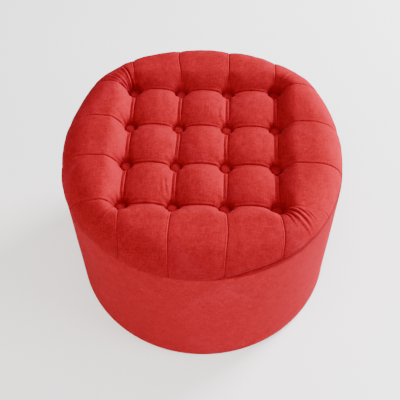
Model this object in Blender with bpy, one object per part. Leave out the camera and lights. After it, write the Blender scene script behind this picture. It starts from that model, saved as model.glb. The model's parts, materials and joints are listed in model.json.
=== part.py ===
"""Round deep-buttoned ottoman with storage: an upholstered tub and a padded lid that lifts off.

Metres, +Z up. The origin is at the centre of the floor under the tub, and the buttons' rows run along X.
The lid's pieces hang on an empty on the tub's axis, at the rim that the lid stands on.
"""

import math

import bmesh
import bpy
from mathutils import Vector

SEGMENTS = 64  # facets round every large ring and disc
TOUCH = 0.0003  # gap left between two pieces that touch

# Overall sizes
TUB_RADIUS = 0.3025
TUB_HEIGHT = 0.352
LID_OVERHANG = 0.0025  # how far the lid's mean outline stands out past the tub
LID_THICKNESS = 0.0716
LID_FULLNESS = 0.022  # share by which the lid's outline swells on its diagonals and draws in on X and Y

# Cloth, foam and boards
VELVET = 0.0015
LINING = 0.001
SIDE_FOAM = 0.010
OUTER_WALL = 0.003
FRAME_WIDTH = 0.025
INNER_WALL = 0.002
PANEL = 0.012
TOP_RING = 0.018
FLOOR_PAD = 0.004

# Tub details
RIM_ROUND = 0.008
HEEL_ROUND = 0.005
VELVET_TURN_IN = 0.045  # how far the velvet reaches down inside the mouth
VELVET_TURN_UNDER = 0.040
LINING_LAP = 0.012  # how far the lining laps over the velvet inside the mouth
LINING_JOG = 0.003  # height over which it steps in to do so
POSTS = 6
POST_WIDTH = 0.030
FLOOR_PAD_CLEARANCE = 0.001

# Feet and their screws
FEET = 4
FOOT_INSET = 0.0675  # from the tub's side to a foot's centre
FOOT_RADIUS = 0.020
FOOT_HEIGHT = 0.010
FOOT_CHAMFER = 0.002
FOOT_SEGMENTS = 16
SCREW_RADIUS = 0.002
SCREW_CLEARANCE = 0.0005
SCREW_LENGTH = 0.014
SCREW_HEAD_RADIUS = 0.0042
SCREW_HEAD = 0.0025
SCREW_SINK = 0.002  # depth of the screw's head inside the foot
SCREW_SEGMENTS = 10

# Lid details
LID_BOARD = 0.012
EDGE_ROLL = 0.070  # distance from the outline over which the pad rounds up to its crest
LOWER_ROUND = 0.018  # radius, seen from the side, by which the lid draws in under its widest line
WAIST = 0.0286  # height of the widest line over the rim
CENTRE_DIP = 0.014
FOLD_SHARE = 0.6  # height of a fold between two buttons, as a share of the panels' height
LID_HEM_SEAT = 0.004  # how far outside the tub's mouth the velvet ends under the lid
BOARD_CLEARANCE = 0.002
RING_WIDTH = 0.020
RING_HEIGHT = 0.015
MOUTH_CLEARANCE = 0.005  # between the lid's locating ring and the tub's mouth

# Buttons and their twine
TUFT_ROWS = 4
BUTTON_RADIUS = 0.011
BUTTON_THICKNESS = 0.008
BUTTON_EDGE = 0.003
BUTTON_SEGMENTS = 12
PIT_HALF = 0.013  # half the side of the flat under a button
PIT_HEIGHT = 0.0226  # height of that flat over the rim
TWINE_RADIUS = 0.001
TWINE_HOLE = 0.003
KNOT_RADIUS = 0.0045
KNOT_MARGIN = 0.0055  # between a corner button's knot and the locating ring
TWINE_SEGMENTS = 6

# Levels of the tub, from the floor up
DUST_COVER_Z = FOOT_HEIGHT + TOUCH
TUB_Z = DUST_COVER_Z + LINING + TOUCH
RIM_Z = TUB_Z + TUB_HEIGHT
BASE_Z = TUB_Z + VELVET + TOUCH
BASE_TOP_Z = BASE_Z + PANEL
FRAME_TOP_Z = RIM_Z - VELVET - TOUCH
TURN_IN_Z = RIM_Z - VELVET_TURN_IN

# Radii of the tub's layers, from the outside in
FOAM_OUTER = TUB_RADIUS - VELVET - TOUCH
WALL_OUTER = FOAM_OUTER - SIDE_FOAM - TOUCH
FRAME_OUTER = WALL_OUTER - OUTER_WALL - TOUCH
FRAME_INNER = FRAME_OUTER - FRAME_WIDTH
INNER_WALL_INNER = FRAME_INNER - TOUCH - INNER_WALL
MOUTH_RADIUS = INNER_WALL_INNER - TOUCH - VELVET
LINING_OUTER = INNER_WALL_INNER - TOUCH

# Levels and radii of the lid; its levels are over the rim
LID_BOTTOM = TOUCH
BOARD_Z = LID_BOTTOM + VELVET + TOUCH
BOARD_TOP = BOARD_Z + LID_BOARD
RING_TOP = BOARD_Z - TOUCH
RING_BOTTOM = RING_TOP - RING_HEIGHT
LID_RADIUS = TUB_RADIUS + LID_OVERHANG
BOARD_RADIUS = LID_RADIUS * (1 - LID_FULLNESS) - LOWER_ROUND - BOARD_CLEARANCE
SKIRT_RADIUS = BOARD_RADIUS + BOARD_CLEARANCE
LID_LINING_RADIUS = MOUTH_RADIUS - MOUTH_CLEARANCE
RING_OUTER = LID_LINING_RADIUS - LINING - TOUCH
RING_INNER = RING_OUTER - RING_WIDTH

# The buttons' square grid, whose corner knots stay inside the locating ring
TUFT_SPACING = (RING_INNER - KNOT_MARGIN - KNOT_RADIUS) * math.sqrt(2) / (TUFT_ROWS - 1)
TUFT_REACH = TUFT_SPACING / 2 - PIT_HALF
TUFT_LINES = [TUFT_SPACING * (row - (TUFT_ROWS - 1) / 2) for row in range(TUFT_ROWS)]
GRID_EDGE = (TUFT_LINES[-1] + PIT_HALF + LID_RADIUS * math.sqrt(0.5)) / 2

VELVET_RED = (0.60, 0.035, 0.04)
LINING_BLACK = (0.03, 0.03, 0.035)
FOAM_CREAM = (0.80, 0.74, 0.58)
PLYWOOD = (0.62, 0.45, 0.27)
HARDBOARD = (0.34, 0.21, 0.12)
FOOT_BLACK = (0.02, 0.02, 0.02)
ZINC = (0.62, 0.63, 0.65)
TWINE_CREAM = (0.75, 0.68, 0.52)


def finish(name, colour, roughness, metallic=0.0):
    """A Principled material."""
    made = bpy.data.materials.new(name)
    made.use_nodes = True
    shader = made.node_tree.nodes["Principled BSDF"]
    shader.inputs["Base Color"].default_value = (*colour, 1)
    shader.inputs["Roughness"].default_value = roughness
    shader.inputs["Metallic"].default_value = metallic
    return made


def mesh_from(bm, name, material):
    """Writes a bmesh to a mesh with its faces turned out, shaded smooth up to its sharp edges."""
    bmesh.ops.recalc_face_normals(bm, faces=bm.faces)
    mesh = bpy.data.meshes.new(name)
    bm.to_mesh(mesh)
    bm.free()
    mesh.materials.append(material)
    mesh.shade_smooth()
    mesh.set_sharp_from_angle(angle=math.radians(40))
    return mesh


def place(name, mesh, parent, location=(0, 0, 0), turn=0.0):
    """Puts a mesh in the scene as a named piece on an empty."""
    piece = bpy.data.objects.new(name, mesh)
    bpy.context.collection.objects.link(piece)
    piece.parent = parent
    piece.location = location
    piece.rotation_euler.z = turn
    return piece


def empty(name, height):
    """An empty on the tub's axis."""
    made = bpy.data.objects.new(name, None)
    bpy.context.collection.objects.link(made)
    made.location.z = height
    return made


def arc(centre, radius, start, end, steps):
    """Points of a (radius, height) section round a centre, from one angle to another, in degrees."""
    turns = [math.radians(start + (end - start) * step / steps) for step in range(steps + 1)]
    return [(centre[0] + radius * math.cos(t), centre[1] + radius * math.sin(t)) for t in turns]


def spin(bm, section, steps=SEGMENTS, centre=(0, 0)):
    """Turns a (radius, height) section about the vertical. One that starts on the axis ends on it too."""
    rows = []
    for radius, height in section:
        turns = [2 * math.pi * step / steps for step in range(steps)] if radius else [0.0]
        row = [
            bm.verts.new((centre[0] + radius * math.cos(t), centre[1] + radius * math.sin(t), height))
            for t in turns
        ]
        rows.append(row * (steps // len(row)))
    if section[0][0]:
        rows.append(rows[0])
    for lower, upper in zip(rows, rows[1:]):
        for step in range(steps):
            after = (step + 1) % steps
            bm.faces.new(dict.fromkeys((lower[step], lower[after], upper[after], upper[step])))


def turned(name, section, material, steps=SEGMENTS):
    """A mesh made by turning one section."""
    bm = bmesh.new()
    spin(bm, section, steps)
    return mesh_from(bm, name, material)


def band(inner, outer, low, high):
    """The section of a plain ring, or of a disc where inner is 0."""
    return [(inner, low), (outer, low), (outer, high), (inner, high)]


def cut(piece, cutter):
    """Takes the cutter's shape out of the piece."""
    modifier = piece.modifiers.new("cut_" + cutter.name, "BOOLEAN")
    modifier.operation = "DIFFERENCE"
    modifier.object = cutter


def drill(name, centres, radius, low, high, parent, steps):
    """A hidden cutter of upright pins, one at each centre."""
    bm = bmesh.new()
    for centre in centres:
        spin(bm, band(0, radius, low, high), steps, centre)
    cutter = place(name, mesh_from(bm, name, bpy.data.materials["steel"]), parent)
    cutter.hide_render = True
    cutter.display_type = "WIRE"
    return cutter


def on_circle(count, radius, start):
    """Evenly spaced (x, y) points on a circle, the first at the angle start."""
    turns = [start + 2 * math.pi * step / count for step in range(count)]
    return [(radius * math.cos(t), radius * math.sin(t)) for t in turns]


# The tub


def foot_centres():
    return on_circle(FEET, TUB_RADIUS - FOOT_INSET, math.pi / FEET)


def make_frame(tub, plywood, hardboard):
    """Base panel, posts and top ring, with a thin wall bent round each side of them."""
    base = place("base_panel", turned("base_panel", band(0, FRAME_OUTER, BASE_Z, BASE_TOP_Z), plywood), tub)
    pilot_top = DUST_COVER_Z - SCREW_HEAD + SCREW_LENGTH
    pilots = drill(
        "pilot_holes", foot_centres(), SCREW_RADIUS + TOUCH, 0, pilot_top, tub, SCREW_SEGMENTS
    )
    cut(base, pilots)

    ring = band(FRAME_INNER, FRAME_OUTER, FRAME_TOP_Z - TOP_RING, FRAME_TOP_Z)
    place("top_ring", turned("top_ring", ring, plywood), tub)

    # A post is a flat batten, thinner than the ring so that its outer corners stay inside the wall.
    reach = FRAME_OUTER * math.cos(math.pi / SEGMENTS)
    outer = math.sqrt(reach**2 - (POST_WIDTH / 2) ** 2)
    bm = bmesh.new()
    bmesh.ops.create_cube(bm, size=1)
    height = FRAME_TOP_Z - TOP_RING - BASE_TOP_Z - 2 * TOUCH
    bmesh.ops.scale(bm, vec=(outer - FRAME_INNER, POST_WIDTH, height), verts=bm.verts)
    middle = ((outer + FRAME_INNER) / 2, 0, BASE_TOP_Z + TOUCH + height / 2)
    bmesh.ops.translate(bm, vec=middle, verts=bm.verts)
    post = mesh_from(bm, "post", plywood)
    for number in range(POSTS):
        place(f"post_{number + 1}", post, tub, turn=2 * math.pi * number / POSTS)

    outside = band(FRAME_OUTER + TOUCH, WALL_OUTER, BASE_Z, FRAME_TOP_Z)
    place("outer_wall", turned("outer_wall", outside, hardboard), tub)
    inside = band(INNER_WALL_INNER, FRAME_INNER - TOUCH, BASE_TOP_Z + TOUCH, FRAME_TOP_Z)
    place("inner_wall", turned("inner_wall", inside, hardboard), tub)


def make_side_foam(tub, foam):
    """The foam wrapped round the outer wall, rounded at the rim and the heel as the velvet over it is."""
    inset = VELVET + TOUCH
    heel = (TUB_RADIUS - HEEL_ROUND, TUB_Z + HEEL_ROUND)
    rim = (TUB_RADIUS - RIM_ROUND, RIM_Z - RIM_ROUND)
    inner = WALL_OUTER + TOUCH
    section = [(inner, BASE_Z)]
    section += arc(heel, HEEL_ROUND - inset, -90, 0, 2)
    section += arc(rim, RIM_ROUND - inset, 0, 90, 3)
    section += [(inner, FRAME_TOP_Z)]
    place("side_foam", turned("side_foam", section, foam), tub)


def make_tub_cover(tub, velvet):
    """The velvet: turned under the base, up the side, over the rim and down inside the mouth."""
    heel = (TUB_RADIUS - HEEL_ROUND, TUB_Z + HEEL_ROUND)
    rim = (TUB_RADIUS - RIM_ROUND, RIM_Z - RIM_ROUND)
    hem = TUB_RADIUS - VELVET_TURN_UNDER
    section = [(hem, TUB_Z)]
    section += arc(heel, HEEL_ROUND, -90, 0, 3)
    section += arc(rim, RIM_ROUND, 0, 90, 4)
    section += [(MOUTH_RADIUS, RIM_Z), (MOUTH_RADIUS, TURN_IN_Z)]
    section += [(MOUTH_RADIUS + VELVET, TURN_IN_Z), (MOUTH_RADIUS + VELVET, RIM_Z - VELVET)]
    section += arc(rim, RIM_ROUND - VELVET, 90, 0, 4)
    section += arc(heel, HEEL_ROUND - VELVET, 0, -90, 3)
    section += [(hem, TUB_Z + VELVET)]
    place("tub_cover", turned("tub_cover", section, velvet), tub)


def make_linings(tub, lining):
    """The cloth inside the tub, the covered board on its floor and the dust cover under it."""
    low = BASE_TOP_Z + TOUCH
    inner = LINING_OUTER - LINING
    step = VELVET + TOUCH
    jog_top = TURN_IN_Z - TOUCH
    jog_low = jog_top - LINING_JOG
    lap_top = TURN_IN_Z + LINING_LAP
    wall = [(inner, low), (LINING_OUTER, low), (LINING_OUTER, jog_low)]
    wall += [(LINING_OUTER - step, jog_top), (LINING_OUTER - step, lap_top)]
    wall += [(inner - step, lap_top), (inner - step, jog_top), (inner, jog_low)]
    place("tub_lining", turned("tub_lining", wall, lining), tub)

    pad = band(0, inner - FLOOR_PAD_CLEARANCE, low, low + FLOOR_PAD)
    place("floor_pad", turned("floor_pad", pad, lining), tub)

    reach = TUB_RADIUS - VELVET_TURN_UNDER + LINING_LAP
    sheet = band(0, reach, DUST_COVER_Z, DUST_COVER_Z + LINING)
    dust_cover = place("dust_cover", turned("dust_cover", sheet, lining), tub)
    radius = SCREW_RADIUS + SCREW_CLEARANCE
    cut(dust_cover, drill("screw_holes", foot_centres(), radius, 0, BASE_Z, tub, SCREW_SEGMENTS))


def make_feet(tub, plastic, steel):
    """Round feet, each with a counterbore from below and a pan-head screw in it."""
    hole = SCREW_RADIUS + SCREW_CLEARANCE
    bore = SCREW_HEAD_RADIUS + SCREW_CLEARANCE
    shelf = SCREW_SINK + SCREW_HEAD
    section = [(bore, 0), (FOOT_RADIUS - FOOT_CHAMFER, 0), (FOOT_RADIUS, FOOT_CHAMFER)]
    section += [(FOOT_RADIUS, FOOT_HEIGHT), (hole, FOOT_HEIGHT), (hole, shelf), (bore, shelf)]
    foot = turned("foot", section, plastic, FOOT_SEGMENTS)

    head_top = shelf - TOUCH
    tip = head_top + SCREW_LENGTH - SCREW_HEAD
    shank = [(0, head_top - SCREW_HEAD), (SCREW_HEAD_RADIUS * 0.7, head_top - SCREW_HEAD)]
    shank += [(SCREW_HEAD_RADIUS, head_top - SCREW_HEAD / 2), (SCREW_HEAD_RADIUS, head_top)]
    shank += [(SCREW_RADIUS, head_top), (SCREW_RADIUS, tip - SCREW_RADIUS * 2), (0, tip)]
    screw = turned("foot_screw", shank, steel, SCREW_SEGMENTS)

    for number, (x, y) in enumerate(foot_centres(), 1):
        place(f"foot_{number}", foot, tub, (x, y, 0))
        place(f"foot_screw_{number}", screw, tub, (x, y, 0))


# The lid


def outline(turn):
    """The lid's widest radius at an angle: a circle drawn a little towards a rounded square."""
    return LID_RADIUS * (1 - LID_FULLNESS * math.cos(4 * turn))


def swell(share):
    """A quarter ellipse, from 0 at share 0 to 1 at share 1 and beyond."""
    share = min(max(share, 0.0), 1.0)
    return math.sqrt(share * (2 - share))


def pad_height(x, y):
    """Height of the pad's top over the rim: a rolled edge, a dip to the centre, and pits at the buttons."""
    radius = math.hypot(x, y)
    rise = swell((outline(math.atan2(y, x)) - radius) / EDGE_ROLL)
    dip = CENTRE_DIP * (1 - min(radius / (LID_RADIUS - EDGE_ROLL), 1.0) ** 2)
    crown = WAIST + (LID_THICKNESS - WAIST) * rise - dip
    dx, dy = (min(abs(value - line) for line in TUFT_LINES) for value in (x, y))
    across, along = (swell(2 * distance / TUFT_SPACING) for distance in (dx, dy))
    share = (1 - FOLD_SHARE) * across * along + FOLD_SHARE * max(across, along)
    share *= swell((max(dx, dy) - PIT_HALF) / TUFT_REACH)
    return PIT_HEIGHT + (crown - PIT_HEIGHT) * share


def grid_lines():
    """The grid's lines on X or Y: its edges, each button and its pit's edges, and midway between buttons."""
    lines = [-GRID_EDGE]
    for line in TUFT_LINES:
        lines += [line - PIT_HALF, line, line + PIT_HALF, line + TUFT_SPACING / 2]
    return lines[:-1] + [GRID_EDGE]


def quarter_turn(x, y, times):
    """The point turned by right angles about the axis."""
    for _ in range(times):
        x, y = -y, x
    return x, y


def pad_rings():
    """Rings of points round the button grid, out to the outline, then down the lid's side and in under it."""
    lines = grid_lines()
    starts, ends = [], []
    for side in range(4):
        for along in lines[:-1]:
            starts.append(quarter_turn(lines[-1], along, side))
            turn = -math.pi / 4 if along == lines[0] else math.asin(along / LID_RADIUS)
            radius = outline(turn)
            ends.append(quarter_turn(radius * math.cos(turn), radius * math.sin(turn), side))

    rings = []
    for share in (0.25, 0.5, 0.75, 0.92, 1.0):
        ring = [(x + (px - x) * share, y + (py - y) * share) for (x, y), (px, py) in zip(starts, ends)]
        rings.append([Vector((x, y, pad_height(x, y) if share < 1 else WAIST)) for x, y in ring])
    for degrees in (30, 60, 90):
        drop = math.radians(degrees)
        height = WAIST - (WAIST - LID_BOTTOM) * math.sin(drop)
        inset = LOWER_ROUND * (1 - math.cos(drop))
        scales = [1 - inset / math.hypot(x, y) for x, y in ends]
        rings.append([Vector((x * scale, y * scale, height)) for (x, y), scale in zip(ends, scales)])
    return rings


def pad_sheet(bm, inset):
    """The pad's skin, moved in by inset. Returns its rings of vertices, from the top down."""
    lines = grid_lines()
    grid = {
        (column, row): bm.verts.new((x, y, pad_height(x, y)))
        for column, x in enumerate(lines)
        for row, y in enumerate(lines)
    }
    last = len(lines) - 1
    for column in range(last):
        for row in range(last):
            corners = ((column, row), (column + 1, row), (column + 1, row + 1), (column, row + 1))
            bm.faces.new([grid[corner] for corner in corners])
    border = [grid[(last, row)] for row in range(last)]
    border += [grid[(last - column, last)] for column in range(last)]
    border += [grid[(0, last - row)] for row in range(last)]
    border += [grid[(column, 0)] for column in range(last)]
    rings = [[bm.verts.new(point) for point in ring] for ring in pad_rings()]
    for inner, outer in zip([border, *rings], rings):
        join_rings(bm, inner, outer)
    bmesh.ops.triangulate(bm, faces=bm.faces)
    bmesh.ops.recalc_face_normals(bm, faces=bm.faces)
    bm.normal_update()
    moved = [vertex.co - vertex.normal * inset * vertex.calc_shell_factor() for vertex in bm.verts]
    for vertex, place_to in zip(bm.verts, moved):
        vertex.co = place_to
    return rings


def join_rings(bm, inner, outer):
    """Quads between two rings of the same number of vertices."""
    for step in range(len(inner)):
        after = (step + 1) % len(inner)
        bm.faces.new((inner[step], outer[step], outer[after], inner[after]))


def level_ring(bm, edge, radius, height):
    """A level ring of vertices at the same angles as those of edge."""
    return [bm.verts.new((*(vertex.co.xy.normalized() * radius), height)) for vertex in edge]


def copy_into(bm, other):
    """Copies other's vertices and faces into bm, and returns its copied vertices in order."""
    other.verts.index_update()
    copies = [bm.verts.new(vertex.co) for vertex in other.verts]
    for face in other.faces:
        bm.faces.new([copies[vertex.index] for vertex in face.verts])
    return copies


def make_lid_cover(lid, velvet, twine_holes):
    """The tufted velvet, down the lid's side and turned under its board."""
    bm = bmesh.new()
    hems = []
    for inset in (0, VELVET):
        skin = bmesh.new()
        edge = pad_sheet(skin, inset)[-1]
        hem = level_ring(skin, edge, MOUTH_RADIUS + LID_HEM_SEAT, LID_BOTTOM + inset)
        join_rings(skin, edge, hem)
        for vertex in edge:
            vertex.co.z = LID_BOTTOM + inset
        copies = copy_into(bm, skin)
        hems.append(copies[-len(hem) :])
        skin.free()
    join_rings(bm, *hems)
    cover = place("lid_cover", mesh_from(bm, "lid_cover", velvet), lid)
    cut(cover, twine_holes)


def make_lid_foam(lid, foam, twine_holes):
    """The pad on the lid's board, with a skirt down past the board's edge."""
    bm = bmesh.new()
    *_, edge, under = pad_sheet(bm, VELVET + TOUCH)
    bmesh.ops.delete(bm, geom=under, context="VERTS")
    skirt_z = sum(vertex.co.z for vertex in edge) / len(edge)
    skirt = level_ring(bm, edge, SKIRT_RADIUS, skirt_z)
    shelf = level_ring(bm, edge, SKIRT_RADIUS, BOARD_TOP + TOUCH)
    join_rings(bm, edge, skirt)
    join_rings(bm, skirt, shelf)
    bm.faces.new(shelf)
    pad = place("lid_foam", mesh_from(bm, "lid_foam", foam), lid)
    cut(pad, twine_holes)


def make_lid_base(lid, plywood, lining, twine_holes):
    """The board, the ring that centres it in the tub's mouth, and the cloth over that ring."""
    board = place("lid_board", turned("lid_board", band(0, BOARD_RADIUS, BOARD_Z, BOARD_TOP), plywood), lid)
    cut(board, twine_holes)
    ring = band(RING_INNER, RING_OUTER, RING_BOTTOM, RING_TOP)
    place("locating_ring", turned("locating_ring", ring, plywood), lid)
    radius = LID_LINING_RADIUS
    low = RING_BOTTOM - TOUCH - LINING
    cup = [(0, low), (radius, low), (radius, RING_TOP), (radius - LINING, RING_TOP)]
    cup += [(radius - LINING, low + LINING), (0, low + LINING)]
    place("lid_lining", turned("lid_lining", cup, lining), lid)


def make_buttons(lid, velvet, cord):
    """Covered buttons, each held down by a twine knotted under the board."""
    low = PIT_HEIGHT + TOUCH
    top = low + BUTTON_THICKNESS
    edge = low + BUTTON_EDGE
    dome = arc((0, edge), 1, 0, 90, 4)
    section = [(0, low), (BUTTON_RADIUS * 0.8, low)]
    section += [(BUTTON_RADIUS * x, edge + (top - edge) * (z - edge)) for x, z in dome[:-1]] + [(0, top)]
    button = turned("button", section, velvet, BUTTON_SEGMENTS)

    knot = (0, BOARD_Z - TOUCH - KNOT_RADIUS)
    section = [(0, knot[1] - KNOT_RADIUS)] + arc(knot, KNOT_RADIUS, -50, 60, 3)
    section += [(TWINE_RADIUS, BOARD_Z - TOUCH), (TWINE_RADIUS, low - TOUCH), (0, low - TOUCH)]
    twine = turned("twine", section, cord, TWINE_SEGMENTS)
    for row, y in enumerate(reversed(TUFT_LINES), 1):
        for column, x in enumerate(TUFT_LINES, 1):
            place(f"button_{row}_{column}", button, lid, (x, y, 0))
            place(f"twine_{row}_{column}", twine, lid, (x, y, 0))


def main():
    for old in list(bpy.data.objects):
        bpy.data.objects.remove(old)
    velvet = finish("red_velvet", VELVET_RED, 0.85)
    lining = finish("black_lining", LINING_BLACK, 0.9)
    foam = finish("foam", FOAM_CREAM, 0.9)
    plywood = finish("plywood", PLYWOOD, 0.6)
    hardboard = finish("hardboard", HARDBOARD, 0.6)
    plastic = finish("black_plastic", FOOT_BLACK, 0.45)
    steel = finish("steel", ZINC, 0.35, 1.0)
    cord = finish("twine", TWINE_CREAM, 0.9)

    tub = empty("tub", 0)
    make_frame(tub, plywood, hardboard)
    make_side_foam(tub, foam)
    make_tub_cover(tub, velvet)
    make_linings(tub, lining)
    make_feet(tub, plastic, steel)

    lid = empty("lid", RIM_Z)
    centres = [(x, y) for x in TUFT_LINES for y in TUFT_LINES]
    reach = LID_THICKNESS + TOUCH
    twine_holes = drill("twine_holes", centres, TWINE_HOLE, -reach, reach, lid, TWINE_SEGMENTS)
    make_lid_cover(lid, velvet, twine_holes)
    make_lid_foam(lid, foam, twine_holes)
    make_lid_base(lid, plywood, lining, twine_holes)
    make_buttons(lid, velvet, cord)


main()
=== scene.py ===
"""Round storage ottoman in deep-buttoned velvet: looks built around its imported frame.

Metres, in the frame's own axes: the tub's centre on the floor is the origin, the buttons' rows run along X
and -Y is the front. Every piece rides on the body "tub" or "lid".
"""

import json  # noqa: E402
import math  # noqa: E402

import bmesh  # noqa: E402
import bpy  # noqa: E402
import numpy as np  # noqa: E402
from bpy.props import FloatProperty, FloatVectorProperty, PointerProperty  # noqa: E402
from mathutils import Matrix, Vector  # noqa: E402


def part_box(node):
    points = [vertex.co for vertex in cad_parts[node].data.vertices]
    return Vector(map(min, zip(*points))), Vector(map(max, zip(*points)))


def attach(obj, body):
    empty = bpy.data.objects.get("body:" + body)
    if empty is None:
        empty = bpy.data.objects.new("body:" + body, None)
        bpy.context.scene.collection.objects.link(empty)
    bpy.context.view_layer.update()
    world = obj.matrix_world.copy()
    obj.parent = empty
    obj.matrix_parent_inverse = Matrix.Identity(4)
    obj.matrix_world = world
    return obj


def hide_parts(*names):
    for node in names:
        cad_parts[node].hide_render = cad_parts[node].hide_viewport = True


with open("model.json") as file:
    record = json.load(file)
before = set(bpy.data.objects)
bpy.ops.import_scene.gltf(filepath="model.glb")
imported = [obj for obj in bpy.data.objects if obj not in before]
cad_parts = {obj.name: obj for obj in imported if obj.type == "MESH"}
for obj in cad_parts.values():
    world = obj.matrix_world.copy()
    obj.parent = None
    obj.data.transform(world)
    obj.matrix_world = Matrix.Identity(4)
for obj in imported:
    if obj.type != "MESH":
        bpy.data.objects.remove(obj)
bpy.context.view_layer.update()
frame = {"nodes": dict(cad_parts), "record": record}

bl_info = {
    "name": "Buttoned Storage Ottoman",
    "version": (1, 0, 0),
    "blender": (4, 5, 0),
    "location": "3D View > Sidebar > Ottoman",
    "description": "Dresses the packed frame of a round storage ottoman in buttoned velvet",
    "category": "Object",
}


# Measures of the frame


def node_points(node):
    """The vertices of a CAD node, as rows of x, y, z."""
    mesh = frame["nodes"][node].data
    points = np.empty(len(mesh.vertices) * 3)
    mesh.vertices.foreach_get("co", points)
    return points.reshape(-1, 3)


def radii(node):
    """Smallest and largest distance of a CAD node's vertices from the tub's axis."""
    across = np.hypot(*node_points(node)[:, :2].T)
    return across.min(), across.max()


TUB_LOW, TUB_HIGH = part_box("tub_cover")
RIM = TUB_HIGH.z
TUB_RADIUS = TUB_HIGH.x
MOUTH = radii("tub_cover")[0]
HEM_UNDER_TUB = TUB_RADIUS - 0.040
TURNED_IN = RIM - 0.045
LID_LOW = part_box("lid_cover")[0].z
LID_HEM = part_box("lid_lining")[1].x + 0.0003
BOARD_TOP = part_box("lid_board")[1].z
BUTTON_LOW, BUTTON_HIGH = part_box("button_1_1")
PIT = BUTTON_LOW.z + 0.001
BUTTON_RADIUS = (BUTTON_HIGH.x - BUTTON_LOW.x) / 2
OUTER_LINE = sum(corner.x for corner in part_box("button_1_4")) / 2
SPACING = OUTER_LINE / 1.5
LINES = [OUTER_LINE - SPACING * step for step in (3, 2, 1, 0)]
BUTTONS = [(row, column, LINES[column - 1], LINES[4 - row]) for row in range(1, 5) for column in range(1, 5)]


# Sizes and colours that a user would change


class OttomanSizes(bpy.types.PropertyGroup):
    """Sizes of the soft pieces, in the lid's and the tub's own terms."""

    crest: FloatProperty(
        name="Lid crest",
        description="Height of the lid's padded ring over the tub's rim",
        default=0.0680,
        unit="LENGTH",
    )
    middle: FloatProperty(
        name="Middle panels",
        description="Height over the rim of the panels between the buttons",
        default=0.0575,
        unit="LENGTH",
    )
    fold: FloatProperty(
        name="Middle folds",
        description="Height over the rim of a fold midway between two buttons",
        default=0.0445,
        unit="LENGTH",
    )
    waist: FloatProperty(
        name="Lid waist",
        description="Height over the rim of the lid's widest line",
        default=0.009,
        unit="LENGTH",
    )
    roll: FloatProperty(
        name="Edge roll",
        description="Distance from the outline over which the lid rounds up to its crest",
        default=0.066,
        unit="LENGTH",
    )
    outline: FloatProperty(
        name="Lid radius",
        description="Mean radius of the lid's outline at a fold",
        default=0.3025,
        unit="LENGTH",
    )
    pleat: FloatProperty(
        name="Pleat width",
        description="Width of the flat pleats that run from front to back",
        default=0.0072,
        unit="LENGTH",
    )


class OttomanColours(bpy.types.PropertyGroup):
    """Colours of the finishes."""

    velvet: FloatVectorProperty(
        name="Velvet",
        description="Colour of the velvet's pile",
        default=(0.246, 0.0060, 0.0106),
        subtype="COLOR",
        min=0,
        max=1,
    )
    velvet_deep: FloatVectorProperty(
        name="Velvet, deep",
        description="Colour of the pile where it lies away from the light",
        default=(0.210, 0.0052, 0.0090),
        subtype="COLOR",
        min=0,
        max=1,
    )
    # Also the colour of the painted highlight on slopes that face the key light, besides the brushed patches.
    velvet_brushed_and_highlight: FloatVectorProperty(
        name="Velvet, brushed",
        description="Colour of the pile where it has been brushed up",
        default=(0.295, 0.0125, 0.0255),
        subtype="COLOR",
        min=0,
        max=1,
    )
    lining: FloatVectorProperty(
        name="Lining",
        description="Colour of the cloth inside the tub",
        default=(0.022, 0.021, 0.023),
        subtype="COLOR",
        min=0,
        max=1,
    )
    plywood: FloatVectorProperty(
        name="Plywood",
        description="Colour of the boards",
        default=(0.62, 0.43, 0.24),
        subtype="COLOR",
        min=0,
        max=1,
    )
    floor: FloatVectorProperty(
        name="Floor",
        description="Colour of the studio floor",
        default=(0.93, 0.93, 0.93),
        subtype="COLOR",
        min=0,
        max=1,
    )


# Numbers


def smooth(t):
    """A smooth step from 0 to 1."""
    t = np.clip(t, 0, 1)
    return t * t * (3 - 2 * t)


def arch(distance, reach, fullness=1.0):
    """A pad's rise from its edge to its level middle. fullness 0 gives a sloping edge, 1 an upright one."""
    left = (1 - np.clip(distance / reach, 0, 1)) ** 2
    return fullness * np.sqrt(1 - left) + (1 - fullness) * (1 - left)


def graded(count, span, first):
    """Offsets from 0 to span in count steps, the first about the given size and the last the widest."""
    t = np.linspace(0, 1, count + 1)
    share = np.clip(first * count / span, 0, 1)
    growth = np.multiply.outer(share, np.ones_like(t)) + np.multiply.outer(1 - share, t**2)
    return np.multiply.outer(span, t) * growth


def bump(value, centre, width):
    """A rounded rise of height 1."""
    return np.exp(-(((value - centre) / width) ** 2))


def uneven(points, size, seed):
    """Smooth unevenness between about -1 and 1 whose lumps are about the given size."""
    rng = np.random.default_rng(seed)
    total = 0
    for _ in range(10):
        direction = rng.normal(size=points.shape[1])
        direction *= rng.uniform(0.6, 1.5) * math.pi / size / np.linalg.norm(direction)
        total = total + np.sin(points @ direction + rng.uniform(0, 2 * math.pi))
    return total / 4


def turn_from(turn, degrees):
    """Signed angle from a direction given in degrees, the short way round."""
    return (turn - math.radians(degrees) + math.pi) % (2 * math.pi) - math.pi


def outline(turn):
    """The lid's outline at an angle: fuller on the back diagonals, and slack at the front."""
    mean = bpy.context.scene.ottoman_sizes.outline
    even = 1 - 0.022 * np.cos(4 * turn) + 0.004 * np.cos(8 * turn)
    front = 0.029 * bump(turn_from(turn, -96), 0, 0.40) - 0.031 * bump(turn_from(turn, -49), 0, 0.40)
    return mean * (even + front - 0.020 * bump(turn_from(turn, -132), 0, 0.30))


def quarter(x, y, times):
    """Points turned by right angles about the axis."""
    for _ in range(times):
        x, y = -y, x
    return x, y


# Meshes


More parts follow.
